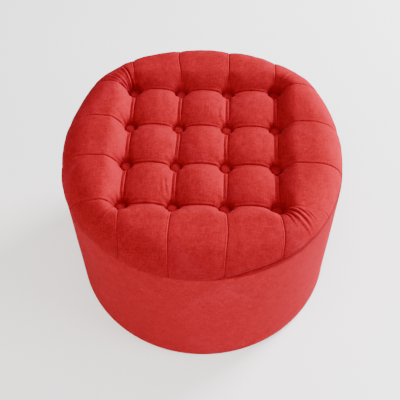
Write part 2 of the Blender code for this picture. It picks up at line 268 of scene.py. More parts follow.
def piece_from(name, points, faces, material, uv=None):
    """A shown piece with smooth shading."""
    mesh = bpy.data.meshes.new(name)
    mesh.from_pydata(points, [], faces)
    if uv is not None:
        layer = mesh.uv_layers.new(name="UVMap")
        corners = np.empty(len(mesh.loops), np.int32)
        mesh.loops.foreach_get("vertex_index", corners)
        layer.data.foreach_set("uv", np.asarray(uv)[corners].astype(np.float32).ravel())
    mesh.materials.append(material)
    mesh.shade_smooth()
    made = bpy.data.objects.new(name, mesh)
    bpy.context.scene.collection.objects.link(made)
    return made


def grid_faces(rows, columns, start=0, wrap=False):
    """Quads over a grid of vertices numbered row by row."""
    across = columns if wrap else columns - 1
    row, column = np.meshgrid(np.arange(rows - 1), np.arange(across), indexing="ij")
    after = (column + 1) % columns
    here, next_row = row * columns, (row + 1) * columns
    quads = [here + column, here + after, next_row + after, next_row + column]
    return start + np.stack(quads, axis=-1).reshape(-1, 4)


def welded(points, faces, *others):
    """Vertices at the same place made one, and the faces and other rows that go with them."""
    _, first, index = np.unique(np.round(points * 1e6), axis=0, return_index=True, return_inverse=True)
    faces = index.reshape(-1)[faces]
    same = (faces == np.roll(faces, 1, axis=1)).sum(axis=1)
    kept = [[v for i, v in enumerate(face) if v != face[i - 1]] for face in faces[same > 0].tolist()]
    clean = faces[same == 0].tolist() + [face for face in kept if len(face) > 2]
    return points[first], clean, *[other[first] for other in others]


def normals_of(points, faces):
    """Vertex normals."""
    mesh = bpy.data.meshes.new("normals")
    mesh.from_pydata(points, [], faces)
    normals = np.empty(len(points) * 3, np.float32)
    mesh.vertex_normals.foreach_get("vector", normals)
    bpy.data.meshes.remove(mesh)
    return normals.reshape(-1, 3).astype(float)


def turned(section, steps=192, shape=None):
    """Points, faces and UVs of a (radius, height) section turned about Z. shape moves its points."""
    section = np.array(section)
    turns = np.linspace(0, 2 * math.pi, steps, endpoint=False)
    radius, turn = np.meshgrid(section[:, 0], turns, indexing="ij")
    height = np.repeat(section[:, 1:], steps, axis=1)
    along = np.concatenate([[0], np.hypot(*np.diff(section, axis=0).T).cumsum()])
    uv = np.stack([turn * TUB_RADIUS, np.repeat(along[:, None], steps, axis=1)], axis=-1).reshape(-1, 2)
    points = np.stack([radius * np.cos(turn), radius * np.sin(turn), height], axis=-1).reshape(-1, 3)
    if shape:
        points = shape(points)
    closing = np.stack([np.arange(steps), np.roll(np.arange(steps), -1)], axis=-1)
    last = (len(section) - 1) * steps
    faces = [grid_faces(len(section), steps, wrap=True), np.hstack([last + closing, closing[:, ::-1]])]
    return points, np.concatenate(faces), uv


def turned_ring(name, section, material, steps, shape=None, centre=(0, 0, 0)):
    """A piece turned from a section that closes on itself."""
    points, faces, uv = turned(section, steps, shape)
    return face_out(piece_from(name, points + np.array(centre), faces.tolist(), material, uv))


def turned_disc(name, section, material, steps, shape=None, centre=(0, 0, 0)):
    """A piece turned from a section that starts and ends on the axis. Its UVs lie flat."""
    points, faces, _ = turned(section, steps, shape)
    points = points + np.array(centre)
    points, faces, uv = welded(points, faces[: (len(section) - 1) * steps], points[:, :2])
    return face_out(piece_from(name, points, faces, material, uv))


def face_out(made, closed=True):
    """Turns a piece's faces out, and closes its holes first if it isn't closed."""
    bm = bmesh.new()
    bm.from_mesh(made.data)
    if not closed:
        bmesh.ops.holes_fill(bm, edges=[edge for edge in bm.edges if edge.is_boundary])
    bmesh.ops.recalc_face_normals(bm, faces=bm.faces)
    bm.to_mesh(made.data)
    bm.free()
    return made


def moved_out(points, amount):
    """Points moved away from the axis by an amount each."""
    radius = np.hypot(points[:, 0], points[:, 1])
    points[:, :2] *= ((radius + amount) / radius)[:, None]
    return points


def polar(points):
    """Distance from the axis and angle of each point."""
    return np.hypot(points[:, 0], points[:, 1]), np.arctan2(points[:, 1], points[:, 0])


def arc(centre, radius, start, end, steps):
    """Points of a section round a centre, from one angle to another, in degrees."""
    turns = np.radians(np.linspace(start, end, steps + 1))
    return [(centre[0] + radius * math.cos(t), centre[1] + radius * math.sin(t)) for t in turns]


def line(start, end, steps):
    """Points of a section from start to end, without the start."""
    start, end = np.array(start), np.array(end)
    return [tuple(start + (end - start) * step / steps) for step in range(1, steps + 1)]


# Finishes


def finish(name, roughness, metallic=0.0, **uniform):
    """A new material and its shader. uniform holds the shader's own values, by socket with _ for a space."""
    material = bpy.data.materials.new(name)
    material.use_nodes = True
    shader = material.node_tree.nodes["Principled BSDF"]
    shader.inputs["Roughness"].default_value = roughness
    shader.inputs["Metallic"].default_value = metallic
    for socket, value in uniform.items():
        shader.inputs[socket.replace("_", " ")].default_value = value
    return material, shader


def add(material, kind, settings=(), **inputs):
    """A node with its settings and its inputs, which are named with _ for a space or numbered as n0."""
    tree = material.node_tree
    made = tree.nodes.new("ShaderNode" + kind)
    for key, value in dict(settings).items():
        setattr(made, key, value)
    for key, value in inputs.items():
        socket = made.inputs[int(key[1:]) if key[0] == "n" and key[1:].isdigit() else key.replace("_", " ")]
        if isinstance(value, bpy.types.NodeSocket):
            tree.links.new(value, socket)
        else:
            socket.default_value = value
    return made


def spread(material, value, low, high, out_low=0.0, out_high=1.0):
    """A value's range from low to high stretched over another."""
    made = add(
        material, "MapRange", {"interpolation_type": "SMOOTHSTEP"}, Value=value, From_Min=low, From_Max=high,
        To_Min=out_low, To_Max=out_high,
    )
    return made.outputs["Result"]


def mixed(material, share, first, second, blend="MIX"):
    """Two colours mixed by a share."""
    made = add(material, "Mix", {"data_type": "RGBA", "blend_type": blend}, n0=share, n6=first, n7=second)
    return made.outputs[2]


def shaded(material, colour, shade):
    """A colour multiplied by a shade."""
    grey = add(material, "CombineColor", Red=shade, Green=shade, Blue=shade).outputs[0]
    return mixed(material, 1.0, colour, grey, "MULTIPLY")


def maths(material, operation, *values):
    """One step of arithmetic."""
    inputs = {f"n{number}": value for number, value in enumerate(values)}
    made = add(material, "Math", {"operation": operation}, **inputs)
    return made.outputs[0]


def sum_of(material, first, second):
    """The sum of two values, each given with its weight."""
    weighed = (maths(material, "MULTIPLY", value, weight) for value, weight in (first, second))
    return maths(material, "ADD", *weighed)


def noise(material, vector, scale, detail=2.0, roughness=0.5, distortion=0.0):
    """The value of a noise whose scale is in lumps to the metre."""
    values = {"Scale": scale, "Detail": detail, "Roughness": roughness, "Distortion": distortion}
    return add(material, "TexNoise", Vector=vector, **values).outputs["Fac"]


def stretched(material, vector, *scale):
    """A vector scaled along each axis."""
    return add(material, "Mapping", Vector=vector, Scale=scale).outputs[0]


def height_of(material, vector):
    """The Z part of a vector."""
    return add(material, "SeparateXYZ", n0=vector).outputs[2]


def places(material):
    """Where each point lies on the object."""
    return add(material, "TexCoord").outputs["Object"]


def cloth_places(material):
    """Where each point lies on its cloth, in metres."""
    return add(material, "UVMap").outputs["UV"]


def colour_by(material, shader, colour):
    """Links the shader's colour."""
    material.node_tree.links.new(colour, shader.inputs["Base Color"])


def rgba(colour):
    """A colour with its alpha."""
    return (*colour, 1.0)


def threads(material, vector, count):
    """Height of a plain weave with so many threads to the metre each way."""
    split = add(material, "SeparateXYZ", n0=vector)
    turns = (maths(material, "MULTIPLY", split.outputs[axis], count * 2 * math.pi) for axis in (0, 1))
    return maths(material, "MULTIPLY", *(maths(material, "SINE", turn) for turn in turns))


def relief(material, shader, height, depth, before=None):
    """A bump of the given depth in metres."""
    inputs = {"Height": height, "Distance": depth, "Strength": 1.0}
    if before:
        inputs["Normal"] = before
    made = add(material, "Bump", **inputs)
    material.node_tree.links.new(made.outputs["Normal"], shader.inputs["Normal"])
    return made.outputs["Normal"]


def make_velvet(colours):
    """Short cotton velvet: mottled at random, with painted light and shade read from a vertex attribute, a fine
    woven ground and a faint sheen.
    """
    material, shader = finish(
        "red_velvet", 0.85, Specular_IOR_Level=0.01, Sheen_Weight=0.01, Sheen_Roughness=0.3,
        Sheen_Tint=(1.0, 0.42, 0.62, 1.0),
    )
    place = places(material)
    flat = cloth_places(material)
    pile = noise(material, place, 60, 5.0, 0.65, 0.4)
    brushed = noise(material, place, 11, 4.0, 0.6, 0.5)
    grain = noise(material, place, 380, 2.0, 0.7)
    weft = noise(material, stretched(material, flat, 70.0, 420.0, 1.0), 1.0, 2.0, 0.6)
    warp = noise(material, stretched(material, flat, 420.0, 70.0, 1.0), 1.0, 2.0, 0.6)
    speckle = noise(material, place, 900, 1.0, 0.5)
    shades = (colours.velvet_deep, colours.velvet, colours.velvet_brushed_and_highlight)
    deep, plain, brushed_and_highlight = (rgba(shade) for shade in shades)
    colour = mixed(material, spread(material, pile, 0.25, 0.70), deep, plain)
    colour = mixed(material, spread(material, brushed, 0.48, 0.80, 0.0, 0.45), colour, brushed_and_highlight)
    streaks = sum_of(material, (weft, 0.3), (warp, 0.3))
    texture = sum_of(material, (grain, 0.5), (streaks, 1.0))
    colour = shaded(material, colour, spread(material, texture, 0.32, 0.78, 0.66, 1.30))
    # Painted light and shade from a vertex attribute: above 0 it mixes in the pinker colour as a painted
    # highlight and lightens, below 0 it darkens as painted shade.
    light_and_shade = add(material, "Attribute", {"attribute_name": "painted_light_and_shade"}).outputs["Fac"]
    colour = mixed(material, spread(material, light_and_shade, 0.05, 0.65, 0.0, 0.5), colour, brushed_and_highlight)
    colour = shaded(material, colour, spread(material, light_and_shade, -0.60, 0.60, 0.68, 1.24))
    colour_by(material, shader, colour)
    height = sum_of(material, (threads(material, flat, 640), 0.35), (speckle, 1.1))
    first = relief(material, shader, height, 0.00035)
    relief(material, shader, pile, 0.0006, first)
    return material


def make_lining(colours):
    """Plain thin cloth with a visible weave."""
    uniform = {"Sheen_Weight": 0.15, "Sheen_Roughness": 0.5, "Specular_IOR_Level": 0.2}
    material, shader = finish("black_lining", 0.9, **uniform)
    place = places(material)
    flat = cloth_places(material)
    cloud = noise(material, place, 14, 3.0)
    fibre = noise(material, place, 500, 3.0, 0.7)
    pale = tuple(min(1.0, value * 1.9 + 0.01) for value in colours.lining)
    tone = mixed(material, spread(material, cloud, 0.3, 0.7, 0.0, 0.4), rgba(colours.lining), rgba(pale))
    tone = mixed(material, spread(material, fibre, 0.45, 0.75, 0.0, 0.5), tone, rgba(pale))
    colour_by(material, shader, tone)
    weave = threads(material, flat, 420)
    relief(material, shader, maths(material, "ADD", weave, fibre), 0.0003)
    return material


def make_plywood(colours):
    """Birch plywood: long grain on its faces and thin layers on its edges."""
    material, shader = finish("birch_plywood", 0.55, Specular_IOR_Level=0.35)
    place = places(material)
    grain = noise(material, stretched(material, place, 3.0, 40.0, 1.0), 4, 5.0, 0.6, 1.5)
    turn = maths(material, "MULTIPLY", height_of(material, place), 2 * math.pi / 0.0024)
    layer = maths(material, "SINE", turn)
    dark = tuple(value * 0.55 for value in colours.plywood)
    tone = mixed(material, spread(material, grain, 0.35, 0.7), rgba(colours.plywood), rgba(dark))
    normal = add(material, "NewGeometry").outputs["Normal"]
    facing = spread(material, maths(material, "ABSOLUTE", height_of(material, normal)), 0.6, 0.3, 0.0, 0.6)
    edge = maths(material, "MULTIPLY", spread(material, layer, -0.2, 0.2), facing)
    tone = mixed(material, edge, tone, rgba(dark))
    colour_by(material, shader, tone)
    relief(material, shader, grain, 0.0003)
    return material


def make_hardboard(_colours):
    """Brown hardboard with a felted back."""
    material, shader = finish("brown_hardboard", 0.7, Specular_IOR_Level=0.3)
    place = places(material)
    fibre = noise(material, place, 260, 5.0, 0.7)
    tone = mixed(material, spread(material, fibre, 0.35, 0.7), (0.20, 0.115, 0.06, 1), (0.36, 0.22, 0.12, 1))
    colour_by(material, shader, tone)
    relief(material, shader, fibre, 0.0004)
    return material


def make_foam(_colours):
    """Cream upholstery foam with open cells."""
    material, shader = finish("cream_foam", 0.95, Specular_IOR_Level=0.1)
    place = places(material)
    cells = add(material, "TexVoronoi", Vector=place, Scale=700.0).outputs["Distance"]
    cloud = noise(material, place, 8, 3.0)
    tone = mixed(material, cells, (0.45, 0.38, 0.22, 1), (0.84, 0.78, 0.60, 1))
    tone = mixed(material, spread(material, cloud, 0.4, 0.8, 0.0, 0.3), tone, (0.80, 0.66, 0.40, 1))
    colour_by(material, shader, tone)
    relief(material, shader, cells, 0.0006)
    return material


def make_moulded(_colours):
    """Black moulded plastic with a fine spark texture."""
    material, shader = finish("black_moulded_plastic", 0.45, Specular_IOR_Level=0.45)
    place = places(material)
    grain = noise(material, place, 1800, 2.0, 0.6)
    scuff = noise(material, place, 120, 4.0, 0.7)
    plain, scuffed = (0.012, 0.012, 0.013, 1), (0.045, 0.044, 0.043, 1)
    tone = mixed(material, spread(material, scuff, 0.55, 0.8), plain, scuffed)
    colour_by(material, shader, tone)
    rough = spread(material, scuff, 0.4, 0.8, 0.38, 0.6)
    material.node_tree.links.new(rough, shader.inputs["Roughness"])
    relief(material, shader, grain, 0.00012)
    return material


def make_zinc(_colours):
    """Zinc-plated steel with a slightly uneven passivated film."""
    material, shader = finish("zinc_steel", 0.32, 1.0)
    place = places(material)
    film = noise(material, place, 220, 3.0)
    tone = mixed(material, spread(material, film, 0.35, 0.7), (0.55, 0.56, 0.58, 1), (0.72, 0.70, 0.62, 1))
    colour_by(material, shader, tone)
    material.node_tree.links.new(spread(material, film, 0.3, 0.7, 0.25, 0.42), shader.inputs["Roughness"])
    return material


def make_twine(_colours):
    """Waxed twine laid in a slanting twist."""
    material, shader = finish("waxed_twine", 0.7, Specular_IOR_Level=0.4)
    place = places(material)
    split = add(material, "SeparateXYZ", n0=place)
    slant = maths(material, "ADD", split.outputs[2], maths(material, "MULTIPLY", split.outputs[0], 1.2))
    twist = maths(material, "SINE", maths(material, "MULTIPLY", slant, 2 * math.pi / 0.0013))
    tone = mixed(material, spread(material, twist, -0.7, 0.8), (0.40, 0.31, 0.18, 1), (0.78, 0.70, 0.52, 1))
    colour_by(material, shader, tone)
    relief(material, shader, twist, 0.0003)
    return material


MAKERS = {
    "red_velvet": make_velvet,
    "black_lining": make_lining,
    "birch_plywood": make_plywood,
    "brown_hardboard": make_hardboard,
    "cream_foam": make_foam,
    "black_moulded_plastic": make_moulded,
    "zinc_steel": make_zinc,
    "waxed_twine": make_twine,
}


def material_for(name):
    """The named finish, made the first time that it is asked for."""
    return bpy.data.materials.get(name) or MAKERS[name](bpy.context.scene.ottoman_colours)


def own(made, body, slot, *nodes):
    """Puts a piece on its body, hiding the CAD nodes that it stands for. The slot is not used."""
    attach(made, body)
    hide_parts(*nodes)


# The lid's tufted cover

# Where a fold strays from its straight line: centre, reach and shift, in metres
WANDER = [
    (-0.235, 0.160, 0.045, 0.0, 0.010),
    (-0.180, 0.150, 0.030, 0.0, -0.004),
    (0.235, 0.162, 0.050, 0.0, 0.009),
    (-0.212, -0.162, 0.040, 0.0, -0.008),
    (0.168, -0.235, 0.045, 0.012, 0.0),
    (0.055, -0.235, 0.055, 0.006, 0.0),
    (-0.055, -0.240, 0.050, -0.004, 0.0),
    (-0.160, -0.255, 0.030, 0.004, 0.0),
    (0.212, -0.165, 0.045, 0.0, -0.012),
    (0.210, -0.052, 0.055, 0.0, -0.008),
    (-0.150, 0.245, 0.050, -0.012, 0.0),
    (-0.052, 0.250, 0.050, -0.011, 0.0),
    (0.052, 0.000, 0.030, -0.002, 0.0),
    (-0.052, 0.010, 0.030, 0.002, 0.0),
    (-0.240, 0.052, 0.045, 0.0, 0.005),
    (0.270, -0.060, 0.040, 0.0, -0.004),
]

# Where the front row's fold and its pleat die away at the right: centre and reach, in metres
DYING_FOLD = (0.232, -0.166, 0.034)
DYING_PLEAT = (0.225, -0.165, 0.045)
# Where the gap under the lid stands open, in degrees, and where the painted shade along it is widest
OPEN_AT = -46
# Loose pleats and puckers: start, middle and end, width and depth, in metres
PLEATS = [
    ((0.164, -0.170), (0.188, -0.186), (0.222, -0.218), 0.0021, 0.0044),
    ((0.174, -0.167), (0.201, -0.178), (0.225, -0.205), 0.0021, 0.0030),
    ((0.192, -0.165), (0.209, -0.169), (0.225, -0.185), 0.0018, 0.0016),
    ((0.208, -0.163), (0.219, -0.169), (0.231, -0.179), 0.0018, 0.0012),
    ((0.165, -0.176), (0.175, -0.193), (0.184, -0.210), 0.0022, 0.0014),
    ((-0.160, 0.165), (-0.168, 0.185), (-0.190, 0.222), 0.0024, 0.0040),
    ((-0.166, 0.162), (-0.184, 0.176), (-0.212, 0.196), 0.0018, 0.0018),
    ((-0.172, 0.160), (-0.196, 0.170), (-0.226, 0.182), 0.0017, 0.0016),
    ((-0.190, 0.160), (-0.210, 0.166), (-0.238, 0.174), 0.0016, 0.0012),
    ((-0.163, -0.166), (-0.180, -0.188), (-0.202, -0.214), 0.0020, 0.0022),
    ((0.168, 0.166), (0.186, 0.186), (0.206, 0.208), 0.0026, 0.0012),
    ((-0.072, -0.094), (-0.068, -0.118), (-0.064, -0.142), 0.0020, 0.0013),
    ((-0.080, -0.088), (-0.078, -0.118), (-0.074, -0.144), 0.0020, 0.0011),
    ((-0.132, 0.106), (-0.124, 0.098), (-0.112, 0.092), 0.0030, 0.0012),
    ((0.040, 0.105), (0.034, 0.085), (0.036, 0.066), 0.0024, 0.0010),
    ((-0.173, 0.060), (-0.190, 0.074), (-0.214, 0.084), 0.0024, 0.0010),
]

# Steps across half a panel and half a corner's fan, and the sizes of their first steps
PANEL_STEPS = 24
FAN_STEPS = 34
FIRST_STEP = 0.00042
FIRST_TURN = math.radians(0.35)
# Rows of points from a button outwards: the level top, the roll, the turn under it and the hem
TOP_ROWS = 26
LID_ROWS = (TOP_ROWS, 32, 12, 4)
PAD_STEPS = 8
PAD_ROWS = (8, 12, 5, 2)
VELVET = 0.0014
LINING = 0.0008


class LidShape:
    """The lid's surface before its small folds: places on the tufting grid, in plan and in height."""

    def __init__(self, sizes, panel_steps=PANEL_STEPS, fan_steps=FAN_STEPS, rows=LID_ROWS):
        self.sizes = sizes
        self.rows = rows
        half = graded(panel_steps, SPACING / 2, FIRST_STEP * PANEL_STEPS / panel_steps)
        steps = []
        for start in LINES[:-1]:
            steps += [start + half[:-1], start + SPACING - half[::-1][:-1]]
        self.across = np.concatenate(steps + [[OUTER_LINE]])
        fan = graded(fan_steps, math.pi / 4, FIRST_TURN * FAN_STEPS / fan_steps)
        self.fan = np.concatenate([fan, math.pi / 2 - fan[::-1][1:]])
        self.points, self.grid, self.out, self.low, self.uv, self.faces = [], [], [], [], [], []
        self.middle()
        for side in range(4):
            self.side(side)
            self.corner(side)
        columns = [np.concatenate(part) for part in (self.points, self.grid, self.out, self.low, self.uv)]
        self.points, self.faces, self.grid, self.out, self.low, self.uv = welded(
            columns[0], np.concatenate(self.faces), *columns[1:]
        )

    def keep(self, points, grid, out, low, uv, shape):
        """Adds a part's points and what is known of each, row by row."""
        start = sum(len(part) for part in self.points)
        parts = (self.points, self.grid, self.out, self.low, self.uv)
        for part, value in zip(parts, (points, grid, out, low, uv)):
            part.append(value)
        self.faces.append(grid_faces(*shape, start=start))

    def network(self, x, y, out, top):
        """Height of the folds' network under a smooth top."""
        across, along = (np.abs(value[..., None] - np.array(LINES)).min(axis=-1) for value in (x, y))
        beyond = smooth(out / 0.040)
        reach = SPACING / 2 - 0.006 * beyond
        joined = 1 - (1 - arch(across, reach, 0.45)) * (1 - arch(along + dying_fold(x, y), reach, 0.55))
        pit = smooth((np.hypot(across, along) - BUTTON_RADIUS * 0.84) / 0.0090)
        inner = (self.sizes.fold - (PIT - RIM)) / (self.sizes.middle - (PIT - RIM))
        share = inner + (0.97 - inner) * beyond
        return PIT + (top - PIT) * share * joined * pit

    def middle(self):
        """The square between the outer buttons."""
        p, q = np.meshgrid(self.across, self.across, indexing="ij")
        zero = np.zeros_like(p)
        height = self.network(p, q, zero, RIM + self.sizes.middle)
        points = np.stack([p, q, height], axis=-1).reshape(-1, 3)
        grid = points[:, :2].copy()
        self.keep(points, grid, zero.ravel(), zero.ravel(), grid, p.shape)
        self.faces[-1] = self.faces[-1][:, ::-1]

    def stations(self, start, direction, turns):
        """Rows of points from each start out to the outline, down the side and in to the hem."""
        length = np.full(len(start), 0.1)
        for _ in range(12):
            end = start + direction * length[:, None]
            radius = outline(np.arctan2(end[:, 1], end[:, 0]) + turns * math.pi / 2)
            beside = start[:, 0] * direction[:, 1] - start[:, 1] * direction[:, 0]
            length = np.sqrt(radius**2 - beside**2) - (start * direction).sum(axis=1)
        end = start + direction * length[:, None]
        radial = end / np.linalg.norm(end, axis=1, keepdims=True)
        sizes = self.sizes
        roll = np.minimum(sizes.roll / (radial * direction).sum(axis=1), length * 0.78)
        top_rows, roll_rows, under_rows, hem_rows = self.rows
        level = graded(top_rows, length - roll, FIRST_STEP * TOP_ROWS / top_rows)
        rise = smooth(level / np.minimum(0.045, length - roll)[:, None])
        tops = RIM + sizes.middle + (sizes.crest - sizes.middle) * rise
        theta = np.linspace(0, math.pi / 2, roll_rows + 1)[1:]
        rolled = length[:, None] - roll[:, None] * (1 - np.sin(theta))
        edge = np.linalg.norm(end, axis=1)
        turn = np.arctan2(end[:, 1], end[:, 0]) + turns * math.pi / 2
        lift = 0.0045 * bump(turn_from(turn, -56), 0, 0.5)[:, None]
        waist = RIM + sizes.waist + lift
        sides = waist + (RIM + sizes.crest - waist) * np.cos(theta)
        out = np.concatenate([level, rolled], axis=1)
        plan = start[:, None] + direction[:, None] * out[..., None]
        top = np.concatenate([tops, sides], axis=1)
        lower = np.linspace(0, math.pi / 2, under_rows + 1)[1:]
        tuck = 0.005 + 0.008 * bump(turn_from(turn, -55), 0, 0.5)
        hem = np.linspace(0, 1, hem_rows + 1)[1:]
        rounding = edge[:, None] - tuck[:, None] * (1 - np.cos(lower))
        radius = np.hstack([rounding, (edge - tuck)[:, None] + (LID_HEM - edge + tuck)[:, None] * hem])
        under_plan = radial[:, None] * radius[..., None]
        hem_height = np.full((len(start), hem_rows), LID_LOW)
        under = np.hstack([waist - (waist - LID_LOW) * np.sin(lower), hem_height])
        turned_under = smooth(np.arange(1, under_rows + hem_rows + 1) / under_rows)
        low = np.hstack([np.zeros_like(top), np.tile(turned_under, (len(start), 1))])
        past = np.linspace(0.004, 0.030, under_rows + hem_rows) + length[:, None]
        return plan, top, under_plan, under, np.concatenate([out, past], axis=1), low

    def band(self, start, direction, turns):
        """The cloth from the given starts out to the hem, turned by right angles."""
        plan, top, under_plan, under, out, low = self.stations(start, direction, turns)
        grid = start[:, None] + direction[:, None] * out[..., None]
        grid = np.stack(quarter(grid[..., 0], grid[..., 1], turns), axis=-1)
        count = plan.shape[1]
        height = self.network(grid[:, :count, 0], grid[:, :count, 1], out[:, :count], top)
        parts = ((plan, height), (under_plan, under))
        points = np.concatenate([np.concatenate([xy, z[..., None]], axis=-1) for xy, z in parts], axis=1)
        steps = np.linalg.norm(np.diff(points, axis=1), axis=-1).cumsum(axis=1)
        length = np.concatenate([np.zeros((len(start), 1)), steps], axis=1)
        uv = start[:, None] + direction[:, None] * length[..., None]
        x, y = quarter(points[..., 0], points[..., 1], turns)
        points = np.stack([x, y, points[..., 2]], axis=-1)
        uv = np.stack(quarter(uv[..., 0], uv[..., 1], turns), axis=-1)
        points, grid, uv = (part.reshape(-1, part.shape[-1]) for part in (points, grid, uv))
        self.keep(points, grid, out.ravel(), low.ravel(), uv, out.shape)

    def side(self, turns):
        """The panels beyond the outer buttons on one side."""
        start = np.stack([np.full_like(self.across, OUTER_LINE), self.across], axis=-1)
        self.band(start, np.tile([1.0, 0.0], (len(start), 1)), turns)

    def corner(self, turns):
        """The fan of cloth beyond a corner button."""
        direction = np.stack([np.cos(self.fan), np.sin(self.fan)], axis=-1)
        self.band(np.tile([OUTER_LINE, OUTER_LINE], (len(direction), 1)), direction, turns)


def near_spot(x, y, spot):
    """One at a spot's centre, falling away with distance."""
    centre_x, centre_y, reach = spot
    return bump(np.hypot(x - centre_x, y - centre_y), 0, reach)


def dying_fold(x, y):
    """Distance added to the front row's fold where it dies away into the front right corner."""
    return 0.05 * near_spot(x, y, DYING_FOLD)


def distance_to_lines(value):
    """Signed distance to the nearest line of buttons."""
    offsets = value[:, None] - np.array(LINES)
    return offsets[np.arange(len(value)), np.abs(offsets).argmin(axis=1)]


def column_pleat(across, width, beyond):
    """Relief of a pleat from front to back: a strip between two creases, or a thin lip past the buttons."""
    t = across / (width / 2)
    strip = 0.0016 * np.sqrt(np.clip(1 - t**2, 0, 1)) * (1 + 0.55 * t)
    inner = strip - 0.0008 * bump(t, -1.2, 0.35) - 0.0010 * bump(t, 1.2, 0.30)
    outer = 0.0008 * bump(across, -0.0012, 0.0013) - 0.0013 * bump(across, 0.0008, 0.0010)
    return inner * (1 - beyond) + outer * beyond


def row_pleat(along, beyond):
    """Relief of a pleat from side to side: a deep crease behind the nearer panel's full edge."""
    full = 0.0014 * bump(along, -0.0042, 0.0034) * (1 - 0.6 * beyond) - 0.0017 * bump(along, 0.0006, 0.0011)
    lip = 0.0006 * bump(along, 0.0040, 0.0018) - 0.0006 * bump(along, 0.0068, 0.0012)
    return full + lip * (1 - 0.7 * beyond)


def loose_pleat(grid, start, middle, end, width, depth):
    """Relief of one pleat that runs along a curve and dies away: a crease with a lip beside it."""
    start, middle, end = (np.array(point) for point in (start, middle, end))
    control = 2 * middle - (start + end) / 2
    t = np.linspace(0, 1, 19)[:, None]
    curve = (1 - t) ** 2 * start + 2 * t * (1 - t) * control + t**2 * end
    near = np.linalg.norm(grid - middle, axis=1) < np.linalg.norm(end - start) * 0.62 + 5 * width
    points = grid[near]
    best = np.full(len(points), 1.0)
    side = np.zeros(len(points))
    share = np.zeros(len(points))
    for index, (a, b) in enumerate(zip(curve, curve[1:])):
        step = b - a
        along = np.clip(((points - a) @ step) / (step @ step), 0, 1)
        away = points - a - along[:, None] * step
        distance = np.linalg.norm(away, axis=1)
        closer = distance < best
        best[closer] = distance[closer]
        side[closer] = np.sign(step[0] * away[closer, 1] - step[1] * away[closer, 0])
        share[closer] = (index + along[closer]) / (len(curve) - 1)
    s = best * side / width
    taper = smooth(share / 0.18) * (1 - smooth((share - 0.55) / 0.45))
    relief_here = np.zeros(len(grid))
    relief_here[near] = depth * taper * (0.75 * np.exp(-(((s - 1.9) / 1.1) ** 2)) - np.exp(-(s**2)))
    return relief_here


def lid_relief(shape):
    """How far the cover stands out from the lid's smooth surface at each point."""
    sizes = shape.sizes
    grid, out = shape.grid, shape.out
    across, along = distance_to_lines(grid[:, 0]), distance_to_lines(grid[:, 1])
    reach = SPACING / 2
    beyond = smooth(out / 0.040)
    narrow = 1 - 0.7 * beyond
    column_edge = np.clip(np.abs(across) - sizes.pleat / 2 * narrow, 0, 1)
    row_edge = np.clip(np.abs(along) + dying_fold(*grid.T) - sizes.pleat * 0.2 * narrow, 0, 1)
    corner = smooth((np.minimum(np.abs(grid[:, 0]), np.abs(grid[:, 1])) - OUTER_LINE) / 0.02)
    full = (sizes.middle - sizes.fold) * (1 - beyond) + 0.0028 * beyond - 0.0006 * corner
    lumps = 1 + 0.16 * uneven(grid, 0.16, 3)
    away = np.hypot(across, along)
    spread_out = reach * (1 - 0.45 * beyond)
    nearer = along < 0
    pad = arch(column_edge, spread_out, 0.42) * arch(row_edge, spread_out, np.where(nearer, 0.75, 0.35))
    pad *= full * lumps * smooth((away - 0.009) / 0.016)
    from_button = smooth((np.maximum(np.abs(across), np.abs(along)) - BUTTON_RADIUS) / 0.014)
    columns = column_pleat(across, sizes.pleat, beyond) * (np.abs(across) < 0.013) * from_button
    rows = row_pleat(along, beyond) * (np.abs(along) < 0.013) * from_button
    rows *= 1 - 0.95 * near_spot(*grid.T, DYING_PLEAT)
    inside = np.abs(grid) < OUTER_LINE + 0.012
    total = pad + np.where(inside.any(axis=1), columns * inside[:, 0] + rows * inside[:, 1], 0)
    for pleat in PLEATS:
        total += loose_pleat(grid, *pleat)
    rng = np.random.default_rng(11)
    for _, _, x, y in BUTTONS:
        dx, dy = grid[:, 0] - x, grid[:, 1] - y
        away = np.hypot(dx, dy)
        turn = np.arctan2(dy, dx)
        ring = smooth((away - 0.010) / 0.008) * (1 - smooth((away - 0.018) / 0.022))
        total -= 0.0011 * ring * (0.5 + 0.5 * np.cos(rng.integers(7, 11) * turn + rng.uniform(0, 6)))
    total += 0.0007 * uneven(grid, 0.055, 5) + 0.00028 * uneven(grid, 0.016, 7)
    return total * (1 - shape.low)


def stray(grid):
    """How far points move in plan where the folds wander."""
    shift = np.zeros((len(grid), 3))
    for x, y, reach, dx, dy in WANDER:
        share = np.exp(-(((grid[:, 0] - x) ** 2 + (grid[:, 1] - y) ** 2) / reach**2))
        shift += share[:, None] * (dx, dy, 0)
    return shift


def from_buttons(grid):
    """Distance from each place on the grid to the nearest button's centre."""
    return np.min([np.hypot(grid[:, 0] - x, grid[:, 1] - y) for _, _, x, y in BUTTONS], axis=0)


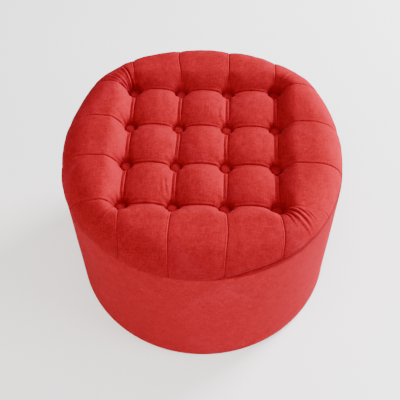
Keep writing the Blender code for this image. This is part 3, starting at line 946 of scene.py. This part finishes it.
class OTTOMAN_OT_lid_velvet(bpy.types.Operator):
    """Makes the tufted velvet cover of the lid"""

    bl_idname = "ottoman.lid_velvet"
    bl_label = "Lid velvet"

    def execute(self, context):
        sizes = context.scene.ottoman_sizes
        shape = LidShape(sizes)
        points = shape.points + normals_of(shape.points, shape.faces) * lid_relief(shape)[:, None]
        points += stray(shape.grid) * (1 - shape.low)[:, None]
        cover = piece_from("lid_velvet", points, shape.faces, material_for("red_velvet"), shape.uv)
        # Painted light: slopes that face the key light at the back right are painted lighter and pinker, and
        # slopes that face away get painted shade; it is weaker near the buttons
        light_and_shade = normals_of(points, shape.faces) @ np.array([0.62, 0.52, 0.0])
        light_and_shade *= 0.45 + 0.55 * smooth((from_buttons(shape.grid) - 0.012) / 0.020)
        # Painted shade along the lid's lowest visible side and on its turned-under cloth, where the groove over
        # the rim lies in shade; it reaches higher where the gap stands open.
        height = shape.points[:, 2] - RIM - sizes.waist
        gap = open_gap(points)
        painted_edge_shade = (shape.out > 0.05) * (1 - smooth((height - 0.003 - 0.003 * gap) / 0.007))
        paint_light_and_shade(cover, light_and_shade - (0.45 + 0.5 * gap) * np.maximum(painted_edge_shade, smooth(shape.low / 0.7)))
        thicken(cover, VELVET)
        own(cover, "lid", "velvet", "lid_cover")
        return {"FINISHED"}


def open_gap(points):
    """How far the gap under the lid stands open: fully at the front right, and shut elsewhere. It sets how wide
    the painted shade along the gap is.
    """
    return bump(turn_from(polar(points)[1], OPEN_AT), 0, 0.50)


def paint_light_and_shade(made, light_and_shade):
    """Stores painted light on each vertex: a painted highlight above 0 and painted shade below 0."""
    layer = made.data.attributes.new("painted_light_and_shade", "FLOAT", "POINT")
    layer.data.foreach_set("value", np.asarray(light_and_shade, np.float32))


def thicken(made, thickness):
    """Gives a sheet its thickness on the inner side."""
    modifier = made.modifiers.new("thickness", "SOLIDIFY")
    modifier.thickness = thickness
    modifier.offset = -1


class OTTOMAN_OT_lid_pad(bpy.types.Operator):
    """Makes the foam pad under the lid's velvet"""

    bl_idname = "ottoman.lid_pad"
    bl_label = "Lid pad"

    def execute(self, context):
        shape = LidShape(context.scene.ottoman_sizes, PAD_STEPS, PAD_STEPS, PAD_ROWS)
        points = shape.points.copy()
        inset = 0.028 * (shape.out > 0.02) * smooth(shape.out / 0.08)
        points[:, :2] *= 1 - inset[:, None]
        near = 1 - smooth(from_buttons(shape.grid) / 0.045)
        sunk = points[:, 2] - 0.007 - 0.008 * smooth(shape.out / 0.03) - 0.016 * near
        bottom = BOARD_TOP + 0.0006
        side = np.maximum(points[:, 2], bottom)
        points[:, 2] = np.where(shape.low > 0, side, np.maximum(sunk, BOARD_TOP + 0.003))
        points[shape.low >= 0.999, 2] = bottom
        pad = piece_from("lid_pad", points, shape.faces, material_for("cream_foam"), shape.uv)
        face_out(pad, closed=False)
        own(pad, "lid", "foam", "lid_foam")
        return {"FINISHED"}


class OTTOMAN_OT_buttons(bpy.types.Operator):
    """Makes the covered buttons"""

    bl_idname = "ottoman.buttons"
    bl_label = "Buttons"

    def execute(self, context):
        rng = np.random.default_rng(5)
        rise = BUTTON_HIGH.z - BUTTON_LOW.z + 0.0020
        shares = np.array([0.0, 0.2, 0.4, 0.58, 0.73, 0.85, 0.93, 0.98, 1.0])
        radius = np.append(shares, (0.995, 0.95, 0.7, 0)) * BUTTON_RADIUS
        height = np.append(0.60 + 0.40 * np.sqrt(1 - (shares * 0.985) ** 2), (0.45, 0.20, 0.04, 0)) * rise
        steps = 56
        turn, r = np.meshgrid(np.linspace(0, 2 * math.pi, steps, endpoint=False), radius)
        for row, column, x, y in BUTTONS:
            z = np.repeat(height[:, None], steps, axis=1)
            edge = np.exp(-(((r / BUTTON_RADIUS - 0.86) / 0.2) ** 2))
            z = z + 0.00028 * edge * np.cos(rng.integers(9, 14) * turn + rng.uniform(0, 6))
            r_here = r * (1 + 0.012 * np.cos(3 * turn + rng.uniform(0, 6)))
            tilt = rng.uniform(-0.05, 0.05, 2)
            px, py = r_here * np.cos(turn), r_here * np.sin(turn)
            z = z + (tilt[0] * px + tilt[1] * py) * (z > 0.3 * rise)
            points = np.stack([x + px, y + py, BUTTON_LOW.z + z], axis=-1).reshape(-1, 3)
            uv = points[:, :2]
            points, faces, uv = welded(points, grid_faces(len(radius), steps, wrap=True), uv)
            name = f"covered_button_{row}_{column}"
            button = face_out(piece_from(name, points, faces, material_for("red_velvet"), uv))
            own(button, "lid", "velvet", f"button_{row}_{column}")
        return {"FINISHED"}


# The tub

# Where the seams at the back stand, in degrees, and the roundings of the tub's heel and rim
SEAM = 96
HEEL_ROUND = 0.0055
RIM_ROUND = 0.008
MOUTH_ROUND = 0.003


def from_seam(points):
    """Distance of each point from the seam at the back, along the cloth."""
    radius, turn = polar(points)
    return turn_from(turn, SEAM) * radius


class OTTOMAN_OT_tub_velvet(bpy.types.Operator):
    """Makes the velvet round the tub, with its seam at the back"""

    bl_idname = "ottoman.tub_velvet"
    bl_label = "Tub velvet"

    def execute(self, context):
        low = TUB_LOW.z

        def shape(points):
            radius, turn = polar(points)
            side = smooth((points[:, 2] - low) / 0.02) * smooth((radius - MOUTH - 0.02) / 0.01)
            around = np.stack([np.cos(turn), np.sin(turn), points[:, 2] / 0.5], axis=-1) * 0.3
            bulge = 0.0006 * uneven(around, 0.12, 21) + 0.00025 * uneven(around, 0.035, 22)
            seam = from_seam(points)
            bulge -= 0.0012 * np.exp(-((seam / 0.0018) ** 2))
            bulge += 0.0004 * np.exp(-(((np.abs(seam) - 0.005) / 0.002) ** 2))
            return moved_out(points, side * bulge)

        cover = turned_ring("tub_velvet", self.section(low), material_for("red_velvet"), 360, shape)
        points = np.array([vertex.co for vertex in cover.data.vertices])
        # Painted light and shade: the tub's right side is painted lighter and pinker towards the right light,
        # and painted shade lies on the top of the side and the rim under the lid's edge, deeper where the gap
        # stands open.
        painted_groove_shade = smooth((points[:, 2] - RIM + 0.004 + 0.007 * open_gap(points)) / 0.004)
        paint_light_and_shade(cover, points @ np.array([0.30, 0.06, 0.0]) / TUB_RADIUS + 0.04 - 0.9 * painted_groove_shade)
        own(cover, "tub", "velvet", "tub_cover")
        return {"FINISHED"}

    def section(self, low):
        """The cloth from its hem under the base, up the side and over the rim, and back along its inside."""
        heel = (TUB_RADIUS - HEEL_ROUND, low + HEEL_ROUND)
        rim = (TUB_RADIUS - RIM_ROUND, RIM - RIM_ROUND)
        mouth = (MOUTH + MOUTH_ROUND, RIM - MOUTH_ROUND)
        outer = [(HEM_UNDER_TUB, low)] + line((HEM_UNDER_TUB, low), (heel[0], low), 6)[:-1]
        outer += arc(heel, HEEL_ROUND, -90, 0, 7)
        outer += line(outer[-1], (TUB_RADIUS, rim[1]), 40)[:-1] + arc(rim, RIM_ROUND, 0, 90, 8)
        outer += line(outer[-1], (mouth[0], RIM), 6)
        outer += arc(mouth, MOUTH_ROUND, 90, 180, 4)[1:]
        outer += line(outer[-1], (MOUTH, TURNED_IN), 8)
        inner = [(MOUTH + VELVET, TURNED_IN), (MOUTH + VELVET, RIM - 0.004), (MOUTH + 0.004, RIM - VELVET)]
        inner += [(rim[0], RIM - VELVET)] + arc(rim, RIM_ROUND - VELVET, 90, 0, 6)[1:]
        inner += arc(heel, HEEL_ROUND - VELVET, 0, -90, 5) + [(HEM_UNDER_TUB, low + VELVET)]
        return outer + inner


class OTTOMAN_OT_linings(bpy.types.Operator):
    """Makes the cloth inside the tub, under its base and under the lid, and the covered floor board"""

    bl_idname = "ottoman.linings"
    bl_label = "Linings"

    def execute(self, context):
        cloth = material_for("black_lining")
        self.storage_lining(cloth)
        self.floor_board(cloth)
        self.dust_cloth(cloth)
        self.ring_cloth(cloth)
        return {"FINISHED"}

    def storage_lining(self, cloth):
        """The cloth hung round the inside of the storage space."""
        low, high = (corner.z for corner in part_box("tub_lining"))
        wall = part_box("tub_lining")[1].x
        lap = radii("tub_lining")[0] + 0.001
        outside = [(wall, low)] + line((wall, low), (wall, TURNED_IN - 0.006), 24)
        outside += line(outside[-1], (lap, TURNED_IN), 4) + line((lap, TURNED_IN), (lap, high), 4)
        inside = [(r - LINING, z) for r, z in reversed(outside)]

        def folds(points):
            turn = polar(points)[1]
            around = np.stack([np.cos(turn) * 0.3, np.sin(turn) * 0.3, points[:, 2] * 0.25], axis=-1)
            slack = smooth((points[:, 2] - low) / 0.05) * smooth((TURNED_IN - points[:, 2]) / 0.05)
            pulled = -np.abs(0.0009 * uneven(around, 0.05, 31))
            pulled -= 0.0006 * (0.5 + 0.5 * uneven(around, 0.018, 32))
            pulled -= 0.0012 * np.exp(-((from_seam(points) / 0.0025) ** 2))
            return moved_out(points, np.minimum(pulled, 0) * slack)

        lining = turned_ring("storage_lining", outside + inside, cloth, 288, folds)
        own(lining, "tub", "lining", "tub_lining")

    def floor_board(self, cloth):
        """The cloth-covered board on the floor of the storage space."""
        low, high = (corner.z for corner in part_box("floor_pad"))
        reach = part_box("floor_pad")[1].x
        edge = 0.0016
        section = [(0.0, low), (reach - edge, low)] + arc((reach - edge, low + edge), edge, -90, 0, 3)[1:]
        section += arc((reach - edge, high - edge), edge, 0, 90, 4)
        section += line(section[-1], (0.0, high), 20)

        def soft(points):
            up = points[:, 2] > high - 1e-5
            points[up, 2] += 0.0005 * uneven(points[up, :2], 0.09, 41) - 0.0005
            return points

        board = turned_disc("covered_floor_board", section, cloth, 144, soft)
        own(board, "tub", "lining", "floor_pad")

    def dust_cloth(self, cloth):
        """The dust cover under the base."""
        low, high = (corner.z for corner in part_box("dust_cover"))
        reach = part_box("dust_cover")[1].x
        section = [(0.0, low), *line((0.0, low), (reach - 0.0005, low), 24), (reach, low + 0.0005)]
        section += [(reach - 0.0002, high), (0.0, high)]

        def crimped(points):
            radius, turn = polar(points)
            edge = smooth((radius - reach + 0.004) / 0.004)
            shift = 1 - 0.004 * edge * (0.5 + 0.5 * np.sin(64 * turn) * np.sin(7 * turn + 1))
            points[:, :2] *= shift[:, None]
            return points

        sheet = turned_disc("base_dust_cloth", section, cloth, 192, crimped)
        own(sheet, "tub", "lining", "dust_cover")

    def ring_cloth(self, cloth):
        """The cloth drawn over the lid's locating ring."""
        low, high = (corner.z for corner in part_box("lid_lining"))
        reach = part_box("lid_lining")[1].x
        ring = radii("locating_ring")[0]
        fold = 0.003
        inner, bend = reach - LINING, (reach - fold, low + fold)
        section = [(0.0, low)] + line((0.0, low), (ring, low), 20) + line((ring, low), (bend[0], low), 5)
        section += arc(bend, fold, -90, 0, 6)[1:] + line((reach, bend[1]), (reach, high), 5)
        section += [(inner, high), (inner, bend[1]), (bend[0], low + LINING), (0.0, low + LINING)]

        def slack(points):
            radius, turn = polar(points)
            flat = (1 - smooth((radius - ring + 0.03) / 0.03)) * (points[:, 2] < low + 0.002)
            points[:, 2] += flat * (0.0007 + 0.0006 * uneven(points[:, :2], 0.11, 51))
            gathers = 0.5 + 0.5 * np.sin(90 * turn + 2 * np.sin(5 * turn))
            gathers *= smooth((radius - reach + 0.02) / 0.02) * (points[:, 2] > low + 0.004)
            points[:, :2] *= (1 - 0.0022 * gathers)[:, None]
            return points

        under = turned_disc("lid_ring_cloth", section, cloth, 288, slack)
        own(under, "lid", "lining", "lid_lining")


class OTTOMAN_OT_feet(bpy.types.Operator):
    """Makes the moulded feet and their screws"""

    bl_idname = "ottoman.feet"
    bl_label = "Feet and screws"

    def execute(self, context):
        for number in range(1, 5):
            low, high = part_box(f"foot_{number}")
            middle = (low + high) / 2
            centre = (middle.x, middle.y, 0)
            self.foot(number, centre, (high.x - low.x) / 2, high.z)
            self.screw(number, centre)
        return {"FINISHED"}

    def foot(self, number, centre, reach, high):
        """A round foot with a stepped bore for its screw and a groove in its sole."""
        corners = node_points(f"foot_{number}")
        bore = np.hypot(*(corners[:, :2] - np.array(centre[:2])).T)
        wide = bore[corners[:, 2] < 0.0001].min()
        hole = bore.min()
        shelf = 0.0045
        section = [(wide, 0.0006), (wide + 0.0006, 0.0)] + line((wide + 0.0006, 0), (reach - 0.003, 0), 6)
        section += arc((reach - 0.003, 0.003), 0.003, -90, 0, 5)[1:]
        section += line(section[-1], (reach, high - 0.001), 3) + [(reach - 0.001, high)]
        section += [(hole, high), (hole, shelf), (wide, shelf)]

        def grooved(points):
            groove = np.exp(-(((polar(points)[0] - 0.013) / 0.0008) ** 2))
            points[:, 2] += 0.0004 * groove * (points[:, 2] < 0.0004)
            return points

        plastic = material_for("black_moulded_plastic")
        foot = turned_ring(f"moulded_foot_{number}", section, plastic, 72, grooved, centre)
        own(foot, "tub", "foot_plastic", f"foot_{number}")

    def screw(self, number, centre):
        """A pan-head screw with a cross recess."""
        low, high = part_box(f"foot_screw_{number}")
        head = (high.x - low.x) / 2
        shank = 0.002
        top, under = low.z, low.z + 0.0025
        section = [(0.0, top + 0.0012), (0.0008, top + 0.0012), (0.0019, top + 0.0002), (0.0024, top)]
        section += [(head * 0.78, top + 0.0002), (head * 0.96, top + 0.0011), (head, top + 0.002)]
        section += [(head, under), (shank, under)]
        for thread in range(5):
            z = under + 0.0016 + thread * 0.0018
            section += [(shank * 0.78, z - 0.0006), (shank, z), (shank * 0.78, z + 0.0006)]
        section += [(0.0, high.z)]

        def recessed(points):
            radius, turn = polar(points)
            cross = np.minimum(np.abs(np.sin(turn)), np.abs(np.cos(turn))) * radius < 0.0006
            sunk = (radius < 0.0023) & (points[:, 2] < top + 0.0013)
            points[:, 2] = np.where(sunk & cross, top + 0.0013, points[:, 2])
            points[:, 2] = np.where(sunk & ~cross & (radius > 0.0004), top + 0.0001, points[:, 2])
            return points

        steel = material_for("zinc_steel")
        screw = turned_disc(f"pan_head_screw_{number}", section, steel, 48, recessed, centre)
        own(screw, "tub", "screw_steel", f"foot_screw_{number}")


class OTTOMAN_OT_inner_frame(bpy.types.Operator):
    """Gives the boards, battens, walls, foam and twine of the frame their finishes"""

    bl_idname = "ottoman.inner_frame"
    bl_label = "Inner frame"

    def execute(self, context):
        finishes = {
            "plywood": "birch_plywood",
            "hardboard": "brown_hardboard",
            "foam": "cream_foam",
            "twine": "waxed_twine",
        }
        for subpart in frame["record"]["subparts"]:
            name = finishes.get(subpart["material_slot"])
            if name:
                mesh = frame["nodes"][subpart["node"]].data
                mesh.materials.clear()
                mesh.materials.append(material_for(name))
        return {"FINISHED"}


# The stage

FLOOR_REACH = 8.0
# Name, place, size, power and colour
LIGHTS = (
    ("key_light", (2.1, 1.6, 1.8), 1.0, 270, (0.97, 0.95, 1.0)),
    ("right_light", (2.4, -0.9, 1.1), 1.3, 100, (0.88, 0.82, 1.0)),
    ("front_light", (-0.3, -1.7, 2.9), 0.9, 85, (1.0, 0.97, 0.95)),
    ("left_fill", (-2.0, -1.6, 1.1), 1.8, 78, (1.0, 0.84, 0.68)),
)
# Lens in millimetres, point looked at and distance from it in metres, and elevation, tilt and heading in degrees
CAMERA_LENS = 64.66
CAMERA_TARGET = (-0.00598, 0, 0.20637)
CAMERA_DISTANCE = 1.6812
CAMERA_TURNS = (54.456, -1.173, 3.31)


class OTTOMAN_OT_stage(bpy.types.Operator):
    """Makes the floor, the studio lights and the camera"""

    bl_idname = "ottoman.stage"
    bl_label = "Stage"

    def execute(self, context):
        self.floor(context)
        self.lights(context)
        self.camera(context)
        return {"FINISHED"}

    def floor(self, context):
        material, shader = finish("studio_floor", 0.85, Specular_IOR_Level=0.1)
        colour = context.scene.ottoman_colours.floor
        shade = tuple(value * 0.985 for value in colour)
        cloud = noise(material, places(material), 2, 2.0)
        colour_by(material, shader, mixed(material, cloud, rgba(colour), rgba(shade)))
        corners = ((-1, -1), (1, -1), (1, 1), (-1, 1))
        points = [(x * FLOOR_REACH, y * FLOOR_REACH, 0) for x, y in corners]
        floor = piece_from("studio_floor", points, [(0, 1, 2, 3)], material)
        world = bpy.data.worlds.new("studio")
        world.use_nodes = True
        background = world.node_tree.nodes["Background"]
        background.inputs["Color"].default_value = (1.0, 1.0, 1.0, 1)
        background.inputs["Strength"].default_value = 0.9
        context.scene.world = world

    def lights(self, context):
        for name, place, size, power, colour in LIGHTS:
            data = bpy.data.lights.new(name, "AREA")
            data.energy = power
            data.size = size
            data.color = colour
            light = bpy.data.objects.new(name, data)
            light.location = place
            light.rotation_mode = "QUATERNION"
            light.rotation_quaternion = (Vector((0, 0, 0.3)) - light.location).to_track_quat("-Z", "Y")
            context.scene.collection.objects.link(light)

    def camera(self, context):
        data = bpy.data.cameras.new("camera")
        data.sensor_width = 36
        data.lens = CAMERA_LENS
        camera = bpy.data.objects.new("camera", data)
        elevation, tilt, heading = (math.radians(value) for value in CAMERA_TURNS)
        forward = Vector((0, math.cos(elevation), -math.sin(elevation)))
        right = Vector((1, 0, 0))
        up = right.cross(forward)
        target = Vector(CAMERA_TARGET)
        place = target - forward * CAMERA_DISTANCE
        turned_right = right * math.cos(tilt) + up * math.sin(tilt)
        turned_up = -right * math.sin(tilt) + up * math.cos(tilt)
        axes = Matrix((turned_right, turned_up, -forward)).transposed().to_4x4()
        camera.matrix_world = Matrix.Rotation(heading, 4, "Z") @ Matrix.Translation(place) @ axes
        context.scene.collection.objects.link(camera)
        context.scene.camera = camera


PIECE_OPERATORS = (
    OTTOMAN_OT_lid_velvet,
    OTTOMAN_OT_lid_pad,
    OTTOMAN_OT_buttons,
    OTTOMAN_OT_tub_velvet,
    OTTOMAN_OT_linings,
    OTTOMAN_OT_feet,
    OTTOMAN_OT_inner_frame,
    OTTOMAN_OT_stage,
)


class OTTOMAN_PT_panel(bpy.types.Panel):
    """Lists the sizes, the colours and the pieces"""

    bl_idname = "OTTOMAN_PT_panel"
    bl_label = "Buttoned Storage Ottoman"
    bl_space_type = "VIEW_3D"
    bl_region_type = "UI"
    bl_category = "Ottoman"

    def draw(self, context):
        for settings in (context.scene.ottoman_sizes, context.scene.ottoman_colours):
            column = self.layout.column()
            for name in settings.bl_rna.properties.keys():
                if name not in ("rna_type", "name"):
                    column.prop(settings, name)
        for operator in PIECE_OPERATORS:
            self.layout.operator(operator.bl_idname)


CLASSES = (OttomanSizes, OttomanColours, *PIECE_OPERATORS, OTTOMAN_PT_panel)


def register():
    for made in CLASSES:
        bpy.utils.register_class(made)
    bpy.types.Scene.ottoman_sizes = PointerProperty(type=OttomanSizes)
    bpy.types.Scene.ottoman_colours = PointerProperty(type=OttomanColours)


def unregister():
    del bpy.types.Scene.ottoman_colours
    del bpy.types.Scene.ottoman_sizes
    for made in reversed(CLASSES):
        bpy.utils.unregister_class(made)


def main():
    register()
    for operator in PIECE_OPERATORS:
        family, name = operator.bl_idname.split(".")
        getattr(getattr(bpy.ops, family), name)()


if __name__ == "__main__":
    main()
